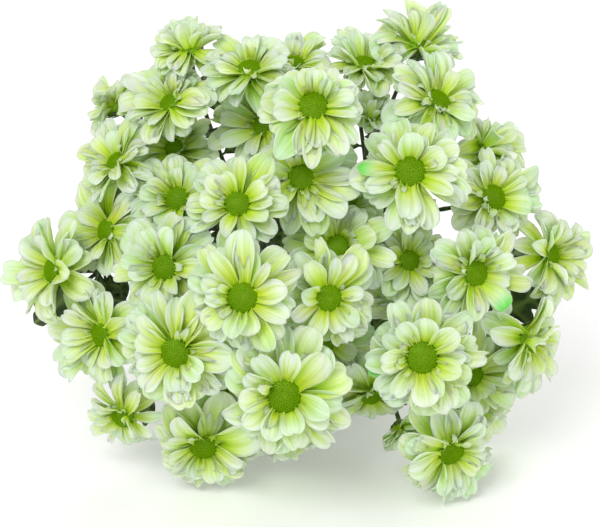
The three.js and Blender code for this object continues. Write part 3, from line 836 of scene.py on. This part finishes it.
hubSkin = greenMaterial("receptacle skin", "#7CA80A", "#8AB40E", 600, 0.7)
calyxSkin = greenMaterial("calyx bract skin", "#3A4A1E", "#5C6E33", 500, 0.5)
petalGrowth = petalTree(petalMaterial())
spirals = {"disc": spiralTree("florets", floretMaterial()), "calyx": spiralTree("calyx bracts", calyxSkin)}
spiralPieces = {"disc": addObject("floret", floretMesh()), "calyx": addObject("bract", bractMesh())}


def restOnFloor(piece, height):  # what would dip into the floor is pressed flat on it
    corners = cornersOf(piece.data)
    corners[:, 2] = np.maximum(corners[:, 2], height * mm)
    piece.data.vertices.foreach_set("co", corners.ravel())


greenTips = {  # tips that stayed green: direction seen from the front (0 right, 90 up), amount
    "bloom_d1": ((180, 1),),
    "bloom_d2": ((10, 0.5), (-20, 0.45)),
    "bloom_i1": ((190, 0.9),),
    "bloom_i6": ((60, 0.7), (20, 0.5)),
    "bloom_j1": ((-60, 1),),
}


def nearest(bloom, plans, angle):  # the petal that points most nearly that way, seen from the front
    wanted = turned(rightWay, upWay, math.radians(angle))

    def nearness(plan):
        return wayOf(bloom, plan["place"]) @ wanted - (plan["whorl"] in ("small", "under"))

    return max(plans, key=nearness)


def bloomPiece(node, number):
    bloom = readBloom(node)
    random = np.random.default_rng(900 + number)
    lines, values = [], {}
    plans = petalPlans(node.name[len("bloom_") :], bloom, random)
    for angle, amount in greenTips.get(node.name, ()):
        nearest(bloom, plans, angle)["green"] = amount
    for plan in plans:
        points, attributes = petalLine(bloom, plan, random)
        lines.append(points)
        for label, value in attributes.items():
            values.setdefault(label, []).append(value)
    rays = grow("rays", linesMesh("petal lines", lines, values), petalGrowth, petal["section"])
    parts = []
    for name, part in (("disc", disc), ("calyx", calyx)):
        line = np.array([(radius, 0, height) for radius, height in part["profile"]]) * mm
        growth = {"Piece": spiralPieces[name], **part["growth"], "Seed": number}
        parts.append(grow(name, linesMesh(name, [line], {}), spirals[name], growth))
    parts.append(addObject("hub", turnProfile("hub", core["profile"], core["sides"], hubSkin)))
    axes = np.stack([bloom["first"], bloom["second"], bloom["facing"]], axis=1) * bloom["scale"]
    place = Matrix.Translation(Vector(bloom["centre"] * mm)) @ Matrix(axes.tolist()).to_4x4()
    for part in parts:
        part.data.transform(place)
    piece = join("flower" + node.name[len("bloom") :], [rays, *parts])
    restOnFloor(piece, 0.2)
    return piece, bloom


blooms = {}
for number, name in enumerate(sorted(n for n in nodes if n.startswith("bloom_"))):
    piece, blooms[name] = bloomPiece(nodes[name], number)
    standsFor(piece, "root", "bloom", name)
for thing in spiralPieces.values():
    bpy.data.objects.remove(thing)
print("blooms:", len(blooms), "with", len(piece.data.polygons), "faces in the last one")


spray = {  # the stems' routes, in mm, as in the solids
    "waist": (0, -11, -218),  # right of, above and in front of the aim
    "rim": 7.6,  # the ring of stems in the band
    "slots": {"d": 20, "c": 60, "b": 100, "a": 140, "f": 180, "h": 220, "g": 260, "i": 300, "j": 340},
    "middleSlot": (0.4, 2.3),
    "back": 190,  # from the waist to the cut ends
    "cutHeight": 17.4,
    "spread": 2.2,  # of the cut ends, times the rim
    "radii": {"cut": 2.6, "waist": 2.46, "top": 1.6, "branch": 1.5},
    "handle": 65,  # of a main stem's curve, at both ends
    "firstBranch": 0.62,  # share of the main stem's way
    "branchStep": 0.08,  # and each next one this much lower
    "ownWay": 0.45,  # share of the main stem's direction that a branch keeps at first
    "handles": (0.3, 0.4),  # of a branch's curve, shares of its reach
    "neck": 3.3,  # from the curve's end to the calyx
    "intoCalyx": 1.2,
    "neckRadius": 2.35,  # where the calyx begins, on a bloom of full size
    "neckLength": 4.2,  # that it widens over
    "step": 3.2,  # between points
    "knuckle": 27,  # between the slight swellings where leaves grew
    "knuckleLength": 2.2,
    "swelling": 0.13,
    "smoothEnds": 10,  # with no swelling
    "slant": 0.7,  # of the cut ends
}
letters = "abcdefghij"  # one for each spray


def bezier(corners, t):
    a, b, c, d = corners
    t = np.asarray(t, float)[..., None]
    s = 1 - t
    return s**3 * a + 3 * s * s * t * b + 3 * s * t * t * c + t**3 * d


def bezierWay(corners, t):  # direction along the curve
    a, b, c, d = corners
    s = 1 - t
    return unit(s * s * (b - a) + 2 * s * t * (c - b) + t * t * (d - c))


waist = np.array(view["aim"]) + spray["waist"] @ np.stack([rightWay, upWay, frontWay])
endMiddle = np.array([waist[0], waist[1] + spray["back"], spray["cutHeight"]])
bunchAlong = unit(waist - endMiddle)
bunchOver = unit(np.cross(rightWay, bunchAlong))


def slotOf(letter):
    if letter not in spray["slots"]:
        return np.array(spray["middleSlot"])
    turn = math.radians(spray["slots"][letter])
    return spray["rim"] * np.array([math.cos(turn), math.sin(turn)])


def below(bloom, gap):
    return bloom["centre"] + bloom["facing"] * (hub["foot"] * bloom["scale"] - gap)


def sprayRoute(letter, leader, others):
    slot = slotOf(letter)
    sideways = rightWay * slot[0] - bunchOver * slot[1]
    cut = endMiddle + sideways * spray["spread"]
    atWaist = waist + sideways
    top = below(leader, spray["neck"])
    onward, back = bunchAlong * spray["handle"], leader["facing"] * spray["handle"]
    main = (atWaist, atWaist + onward, top - back, top)
    branches = []
    first, last = spray["handles"]
    for i, one in enumerate(others):
        end = below(one, spray["neck"])
        share = spray["firstBranch"] - spray["branchStep"] * i
        start = bezier(main, share)
        reach = np.linalg.norm(end - start)
        leaving = mix(unit(end - start), bezierWay(main, share), spray["ownWay"])
        corners = (start, start + leaving * reach * first, end - one["facing"] * reach * last, end)
        branches.append((corners, one))
    return cut, main, branches


def tubeLine(bloom, points, radii):
    # evenly spaced, with a slight swelling at each knuckle, and widened into the calyx at its end
    end = below(bloom, -spray["intoCalyx"])
    points = np.concatenate([points, [end]])
    at = runOf(points)
    even = np.linspace(0, at[-1], max(4, round(at[-1] / spray["step"])))
    line = resampled(points, at, even)
    half = spray["knuckle"] / 2
    knuckle = ((even + half) % spray["knuckle"] - half) / spray["knuckleLength"]
    swells = np.minimum(even, at[-1] - even) > spray["smoothEnds"]
    radius = np.interp(even, at, radii) * (1 + spray["swelling"] * np.exp(-(knuckle**2)) * swells)
    left = np.linalg.norm(line - end, axis=1) / spray["neckLength"]
    return line, mix(radius, spray["neckRadius"] * bloom["scale"], np.exp(-(left**2)))


def stemLines(letter, leader, others):
    cut, main, branches = sprayRoute(letter, leader, others)
    t = np.linspace(0, 1, 60)
    radii = spray["radii"]
    thickness = [[radii["cut"]], mix(radii["waist"], radii["top"], t), [radii["top"]]]
    lines = [tubeLine(leader, np.concatenate([[cut], bezier(main, t)]), np.concatenate(thickness))]
    for corners, one in branches:
        lines.append(tubeLine(one, bezier(corners, t), np.full(len(t) + 1, radii["branch"])))
    return cut, main, lines


def stemTree(material):
    tree, add, start = newTree("stems", {"Ribs": "Int", "Rib Depth": "Float"})
    named = add("GeometryNodeInputNamedAttribute", {"Name": "stemRadius"})
    radius = named.outputs["Attribute"]
    curve = add("GeometryNodeMeshToCurve", {"Mesh": start["Geometry"]})
    inside = add("ShaderNodeMath", {0: 1, 1: start["Rib Depth"]}, operation="SUBTRACT")
    star = {"Points": start["Ribs"], "Inner Radius": inside, "Outer Radius": 1, "Twist": 0}
    section = add("GeometryNodeCurveStar", star).outputs["Curve"]
    sweep = {"Curve": curve, "Profile Curve": section, "Scale": radius, "Fill Caps": True}
    swept = add("GeometryNodeCurveToMesh", sweep)
    return endTree(tree, swept, material)


leaf = {
    "length": 60,  # mm
    "columns": 5,  # each side of the rib
    "thick": 0.5,
    "stalkThick": 1.1,
    "thinnest": 0.6,  # share of that, on the smallest leaves
    "stalkRows": 6,
    "fold": 0.3,
    "droop": 0.0035,
    "wave": 0.9,
    "waves": 19,  # radians in the length
    "veinDepth": 0.3,
    "veinWidth": 0.014,  # share of the length
    "sideVeins": 0.75,  # as strong as the rib
    "tooth": 0.011,
    "toothStep": 0.062,
    "back": 12,  # degrees
    "levels": {"first": 0.04, "second": 0.175, "step": 0.045, "turn": 8},
    "lobes": (  # one side of the outline: shares of the length, along and across
        (0.18, 0.022), (0.215, 0.12), (0.26, 0.24), (0.31, 0.3), (0.36, 0.27), (0.375, 0.18),
        (0.39, 0.115), (0.43, 0.16), (0.49, 0.28), (0.565, 0.35), (0.62, 0.31), (0.65, 0.2),
        (0.67, 0.125), (0.71, 0.15), (0.76, 0.215), (0.82, 0.235), (0.855, 0.17), (0.87, 0.095),
        (0.91, 0.105), (0.955, 0.07), (0.985, 0.03), (1, 0.003),
    ),
    "tips": (0.31, 0.565, 0.82),  # of the lobes
    "oval": (  # a small leaf by a branch
        (0.12, 0.03), (0.22, 0.1), (0.34, 0.17), (0.48, 0.2), (0.62, 0.185),
        (0.76, 0.14), (0.88, 0.08), (0.96, 0.03), (1, 0.003),
    ),
    "small": (13, 34),  # mm, the leaves along the branches
    "smallLobed": 20.4,  # longer ones are lobed
    "smallPlaces": {"main": (0.72, 0.88), "branch": (0.12, 0.45, 0.8)},
    "lean": (35, 60),  # degrees from the branch
}


def rounded(corners, count):  # a smooth line through the corners, evenly spaced
    corners = np.array(corners)
    padded = np.concatenate([2 * corners[:1] - corners[1:2], corners, 2 * corners[-1:] - corners[-2:-1]])
    line = []
    t = np.linspace(0, 1, 12, endpoint=False)[:, None]
    for a, b, c, d in zip(padded, padded[1:], padded[2:], padded[3:]):
        bends = (2 * a - 5 * b + 4 * c - d) * t**2 + (3 * b - a - 3 * c + d) * t**3
        line.append(0.5 * (2 * b + (c - a) * t + bends))
    line = np.concatenate([*line, corners[-1:]])
    at = runOf(line)
    even = np.linspace(0, at[-1], count)
    return resampled(line, at, even), even


def leafShape(outline, rows, lobed, toothed):
    # one side of the outline, where its rows begin on the rib, and the rows with a side vein
    edge, length = rounded(outline, rows)
    way = units(np.gradient(edge, axis=0))
    tooth = np.abs(np.sin(length * math.pi / leaf["toothStep"])) - 0.5
    tooth *= leaf["tooth"] * toothed * smooth((edge[:, 1] - 0.06) / 0.08)
    edge = edge + np.stack([-way[:, 1], way[:, 0]], axis=1) * tooth[:, None]
    if lobed:
        rib = np.minimum(np.maximum.accumulate(edge[:, 0] - 0.35 * edge[:, 1]), edge[:, 0])
        onVein = [np.argmin(abs(edge[:, 0] - tip) + (edge[:, 1] < 0.1)) for tip in leaf["tips"]]
    else:
        rib = np.clip(edge[:, 0] - 0.3 * edge[:, 1], leaf["oval"][0][0], 1)
        onVein = [round(rows * share) for share in (0.3, 0.5, 0.7)]
    rib = np.maximum.accumulate(np.maximum(rib, edge[0, 0])) + np.linspace(0, 1e-3, rows)
    count = leaf["stalkRows"]
    stalk = np.linspace(0, edge[0, 0], count, endpoint=False)
    stalkEdge = np.stack([stalk, np.full(count, edge[0, 1])], axis=1)
    return np.concatenate([stalkEdge, edge]), np.concatenate([stalk, rib]), [i + count for i in onVein]


shapes = {
    "lobed": leafShape(leaf["lobes"], 66, True, 1),
    "small lobed": leafShape(leaf["lobes"], 44, True, 1),
    "oval": leafShape(leaf["oval"], 18, False, 0.5),
}


def leafSheet(kind, root, way, top, length, random, columns):
    # a thin closed sheet: its points, faces and what its material reads at each point
    edge, rib, onVein = shapes[kind]
    rows = len(edge)
    size = length / leaf["length"]
    w = np.linspace(-1, 1, 2 * columns + 1)
    share = rib[:, None] + (edge[:, :1] - rib[:, None]) * abs(w)
    half = edge[:, 1:] * w * length
    nearVein = np.min([abs(np.arange(rows) - i) for i in onVein], axis=0)
    midrib = np.exp(-((half / (leaf["veinWidth"] * length)) ** 2))
    sideVein = leaf["sideVeins"] * np.exp(-((nearVein[:, None] / 0.9) ** 2)) * (1 - abs(w)) ** 0.5
    onBlade = smooth((share - 0.14) / 0.1)
    vein = np.maximum(midrib, sideVein) * onBlade
    phase = random.uniform(0, 6.3, 2)[0]
    lift = leaf["fold"] * abs(half) - leaf["droop"] / size * (share * length) ** 2
    lift += leaf["wave"] * size * onBlade * w**2 * np.sin(share * leaf["waves"] + phase + w * 1.5)
    lift -= leaf["veinDepth"] * size * vein
    side = unit(np.cross(top, way))
    over = np.cross(way, side)
    points = root + (share * length)[..., None] * way + half[..., None] * side + lift[..., None] * over
    thick = mix(leaf["stalkThick"], leaf["thick"], onBlade) * max(leaf["thinnest"], size)
    lower = (points - thick[..., None] * over).reshape(-1, 3)
    upper = points.reshape(-1, 3)
    count = len(upper)
    i, j = np.meshgrid(np.arange(rows - 1), np.arange(len(w) - 1), indexing="ij")
    corner = (i * len(w) + j).ravel()
    above = np.stack([corner, corner + len(w), corner + len(w) + 1, corner + 1], axis=1)
    edges = {(a, b) for face in above.tolist() for a, b in zip(face, face[1:] + face[:1])}
    rim = [(b, a, a + count, b + count) for a, b in sorted(edges) if (b, a) not in edges]
    faces = above.tolist() + (above[:, ::-1] + count).tolist() + rim
    return np.concatenate([upper, lower]), faces, np.tile(vein.ravel(), 2)


def leafPlaces(letter):  # on the main stem: share of its way, degrees off the stem's own slot
    number = list(spray["slots"]).index(letter)
    first, second, step, turn = leaf["levels"].values()
    return (first + step * (number % 3), -turn), (second + step * ((number + 1) % 3), turn)


gaps = {  # leaves that show between the blooms: some are real leaves seen there, the others are dark leaves that stand in for the deep shade between the blooms, as painted shade
    "places": (  # mm right of and above the aim, as seen
        (-113, -16), (-120, -8), (-143, -22), (-94, 57), (-56, 81), (-43, 68), (-50, 15),
        (-45, -85), (-90, -79), (-10, 17), (19, 38), (39, 44), (33, 71), (72, -89),
        (66, 22), (95, -60), (-53, 95), (-110, 41), (-107, -13), (132, -25),
        (-115, -25), (-52, 24), (111, -33), (-100, -2),
    ),
    "below": (7, 24),  # their roots, in points under a bloom
    "middle": 0.55,  # the share of a leaf's length that comes to the place
    "length": (26, 60),
    "lobed": 36,  # longer ones are lobed
}


def seenAt(points):  # mm right of and above the aim, and how far off
    away = points - np.array(view["aim"]) - frontWay * view["distance"]
    depth = -(away @ frontWay)
    flat = np.stack([away @ rightWay, away @ upWay], axis=-1)
    return flat * view["distance"] / depth[..., None], depth


def gapLeaves(random):  # each on the stem that is nearest to its place, as seen
    found = {letter: [] for letter in routes}
    first, last = gaps["below"]
    for place in np.array(gaps["places"], float):
        nearby = []
        for letter, (_, _, lines) in routes.items():
            for line, _ in lines:
                roots = line[-last:-first]
                seen, depth = seenAt(roots)
                miss = np.linalg.norm(seen - place, axis=1)
                i = miss.argmin()
                nearby.append((miss[i], letter, roots[i], (place - seen[i]) * depth[i] / view["distance"]))
        _, letter, root, offset = min(nearby, key=lambda one: one[0])
        way = unit(offset[0] * rightWay + offset[1] * upWay)
        length = np.clip(np.linalg.norm(offset) / gaps["middle"], *gaps["length"])
        kind = "small lobed" if length > gaps["lobed"] else "oval"
        found[letter].append(leafSheet(kind, root, way, frontWay, length, random, 3))
    return found


def leavesObject(letter, main, lines, random):
    sheets = list(betweenBlooms[letter])
    if letter in spray["slots"]:
        for share, turn in leafPlaces(letter):
            angle = math.radians(spray["slots"][letter] + turn)
            back = math.radians(leaf["back"])
            way = turned(turned(rightWay, -bunchOver, angle), -bunchAlong, back)
            rest = leaf["length"], random, leaf["columns"]
            sheets.append(leafSheet("lobed", bezier(main, share), way, bunchAlong, *rest))
    for number, (line, _) in enumerate(lines):
        turn = random.uniform(0, 6.3)
        for share in leaf["smallPlaces"]["branch" if number else "main"]:
            i = round(share * (len(line) - 1))
            tangent = unit(line[i + 1] - line[i - 1])
            side = unit(np.cross(tangent, frontWay + 0.1 * rightWay))
            turn += goldenAngle
            out = turned(side, np.cross(tangent, side), turn)
            way = turned(tangent, out, math.radians(random.uniform(*leaf["lean"])))
            length = random.uniform(*leaf["small"])
            kind = "small lobed" if length > leaf["smallLobed"] else "oval"
            sheets.append(leafSheet(kind, line[i], way, tangent, length, random, 2))
    faces = []
    count = 0
    for points, sheetFaces, _ in sheets:
        faces += [[i + count for i in face] for face in sheetFaces]
        count += len(points)
    points, _, veins = zip(*sheets)
    mesh = meshOf("leaves", np.concatenate(points), faces, leafSkin)
    store = mesh.attributes.new("vein", "FLOAT", "POINT")
    store.data.foreach_set("value", np.concatenate(veins).astype(np.float32))
    return addObject("leaves", mesh)


def leafMaterial():
    # chrysanthemum leaf: matt, dark and slightly greyed, with paler sunken veins
    matt = {"Roughness": 0.62, "Sheen Weight": 0.15}
    grain = {"Scale": 260, "Detail": 5, "Roughness": 0.62}
    greens = ((0.3, "#24380F"), (0.55, "#33491B"), (0.75, "#465F2A"))
    relief = {"Strength": 0.4, "Distance": 0.5 * mm}
    material, add, shader, blade = mottled("leaf blade", matt, grain, greens, relief)
    vein = add("ShaderNodeAttribute", attribute_name="vein").outputs["Fac"]
    veined = add("ShaderNodeMix", {0: vein, 6: blade, 7: linear("#7C9150")}, data_type="RGBA")
    setInputs(shader, {"Base Color": veined.outputs[2]})
    return material


leafSkin = leafMaterial()
stemSkin = greenMaterial("ribbed stem skin", "#2C3B17", "#4E6330", 340, 0.55)
pithFlesh = greenMaterial("cut stem pith", "#C9CFA0", "#E8E6C6", 900, 0.8)
stemGrowth = stemTree(stemSkin)


def sprayPiece(letter, random):
    cut, main, lines = routes[letter]
    radii = {"stemRadius": [radius * mm for _, radius in lines]}
    net = linesMesh("stem lines", [line * mm for line, _ in lines], radii)
    tubes = grow("stems", net, stemGrowth, {"Ribs": 6, "Rib Depth": 0.07})
    mesh = tubes.data
    mesh.materials.append(pithFlesh)
    corners = cornersOf(mesh)
    away = corners / mm - cut
    near = np.linalg.norm(away, axis=1) < 1.3 * spray["radii"]["cut"]
    end = near & (away @ bunchAlong < 1)
    corners[end] += spray["slant"] * (away @ bunchOver)[end, None] * bunchAlong * mm
    mesh.vertices.foreach_set("co", corners.ravel())
    for polygon in mesh.polygons:
        if polygon.loop_total > 4 and near[polygon.vertices[0]]:
            polygon.material_index = 1
            polygon.use_smooth = False
    return join("spray_" + letter, [tubes, leavesObject(letter, main, lines, random)])


routes = {}
for letter in letters:
    names = sorted(n for n in blooms if n.startswith("bloom_" + letter))
    leader, *others = (blooms[n] for n in names)
    routes[letter] = stemLines(letter, leader, others)
# painted shade in part: dark leaves set in the gaps between the blooms
betweenBlooms = gapLeaves(np.random.default_rng(77))
for number, letter in enumerate(letters):
    piece = sprayPiece(letter, np.random.default_rng(300 + number))
    restOnFloor(piece, 0)
    standsFor(piece, "root", "stem", "stem_" + letter)
print("sprays:", len(routes))


band = {  # an elastic band, pulled tight round the stems
    "behindWaist": 6,  # mm
    "width": 6,
    "thick": 1.2,
    "clear": 0.1,  # of the stems
    "around": 120,
    "ridges": 7,
    "ridgeDepth": 0.1,
}


def bandPath():  # round the ring of stems, seen along them
    turns = np.radians(sorted(spray["slots"].values()))
    facing = np.linspace(0, wholeTurn, 360, endpoint=False)
    off = abs((facing[:, None] - turns + math.pi) % wholeTurn - math.pi)
    stem = turns[np.argmin(off, axis=1)]
    radius = spray["radii"]["waist"] + band["clear"]
    path = spray["rim"] * np.stack([np.cos(stem), np.sin(stem)], axis=1)
    path += radius * np.stack([np.cos(facing), np.sin(facing)], axis=1)
    closed = np.concatenate([path, path[:1]])
    at = runOf(closed)
    return resampled(closed, at, np.linspace(0, at[-1], band["around"], endpoint=False))


def bandPiece():
    middle = waist - bunchAlong * band["behindWaist"]
    path = bandPath()
    way = np.roll(path, -1, axis=0) - np.roll(path, 1, axis=0)
    outward = units(np.stack([way[:, 1], -way[:, 0]], axis=1))
    over = np.linspace(-1, 1, 3 * band["ridges"] + 1)
    roundEdge = np.sqrt(np.clip(1 - abs(over) ** 6, 0, 1))
    ridge = band["ridgeDepth"] * np.cos(over * math.pi * band["ridges"]) * roundEdge
    outer = [(band["thick"] / 2 * (1 + r) + g, a) for a, r, g in zip(over, roundEdge, ridge)]
    inner = [(band["thick"] / 2 * (1 - r), a) for a, r in zip(over[::-3], roundEdge[::-3])][1:-1]
    section = outer + inner
    points = []
    for place, out in zip(path, outward):
        for lift, along in section:
            x, y = place + out * lift
            flat = middle + rightWay * x - bunchOver * y
            points.append(flat + bunchAlong * along * band["width"] / 2)
    size = len(section)
    faces = []
    for i in range(band["around"]):
        a, b = i * size, (i + 1) % band["around"] * size
        for k in range(size):
            following = (k + 1) % size
            faces.append((a + k, a + following, b + following, b + k))
    mesh = meshOf("elastic band", points, faces, rubberMaterial())
    shape = bmesh.new()
    shape.from_mesh(mesh)
    bmesh.ops.recalc_face_normals(shape, faces=shape.faces)
    shape.to_mesh(mesh)
    shape.free()
    return addObject("elastic_band", mesh)


def rubberMaterial():
    # natural rubber, extruded and cut: tan, satin, faintly mottled with a dusty bloom
    satin = {"Roughness": 0.6, "IOR": 1.52, "Subsurface Weight": 0.1, "Subsurface Scale": 1 * mm}
    tans = ((0.35, "#B4935A"), (0.65, "#CDB27C"))
    relief = {"Strength": 0.25, "Distance": 0.1 * mm}
    return mottled("natural rubber", satin, {"Scale": 900, "Detail": 4}, tans, relief)[0]


standsFor(bandPiece(), "root", "band", "band")
print("band set")


def aimed(thing, place, target):
    thing.location = place
    thing.rotation_euler = (Vector(target) - Vector(place)).to_track_quat("-Z", "Y").to_euler()


def addCamera():
    camera = addObject("camera", bpy.data.cameras.new("camera"))
    target = Vector(view["aim"]) * mm
    aimed(camera, target + Vector(frontWay) * view["distance"] * mm, target)
    camera.data.lens = view["lens"]
    camera.data.sensor_width = view["sensor"]
    bpy.context.scene.camera = camera


studio = {
    "lamps": {  # place, size, power
        "key": ((-0.9, -1.5, 1.9), 1.4, 30),
        "fill": ((1.6, -1.2, 1.0), 1.6, 9),
        "back": ((0.4, 1.6, 1.5), 1.4, 16),
    },
    "aim": (0, -0.05, 0.12),
    "sky": "#FFFFFF",
    "skyStrength": 0.55,
    "floor": "#FAFAF9",
    "floorGlow": 0.12,
    "floorHalf": 12,  # m
}


def addStudio():
    for name, (place, size, power) in studio["lamps"].items():
        lamp = bpy.data.lights.new(name, "AREA")
        lamp.size = size
        lamp.energy = power
        aimed(addObject(name, lamp), place, studio["aim"])
    world = bpy.data.worlds.new("studio")
    world.use_nodes = True
    sky = world.node_tree.nodes["Background"]
    setInputs(sky, {"Color": linear(studio["sky"]), "Strength": studio["skyStrength"]})
    bpy.context.scene.world = world
    half = studio["floorHalf"]
    mesh = bpy.data.meshes.new("floor")
    corners = [(-half, -half, 0), (half, -half, 0), (half, half, 0), (-half, half, 0)]
    mesh.from_pydata(corners, [], [(0, 1, 2, 3)])
    colour = linear(studio["floor"])
    glow = {"Emission Color": colour, "Emission Strength": studio["floorGlow"]}
    paper = newMaterial("matt studio paper", {"Base Color": colour, "Roughness": 0.9, **glow})[0]
    mesh.materials.append(paper)
    addObject("floor", mesh)


addCamera()
addStudio()
bpy.context.scene.view_settings.view_transform = "Standard"
print("studio and camera set")
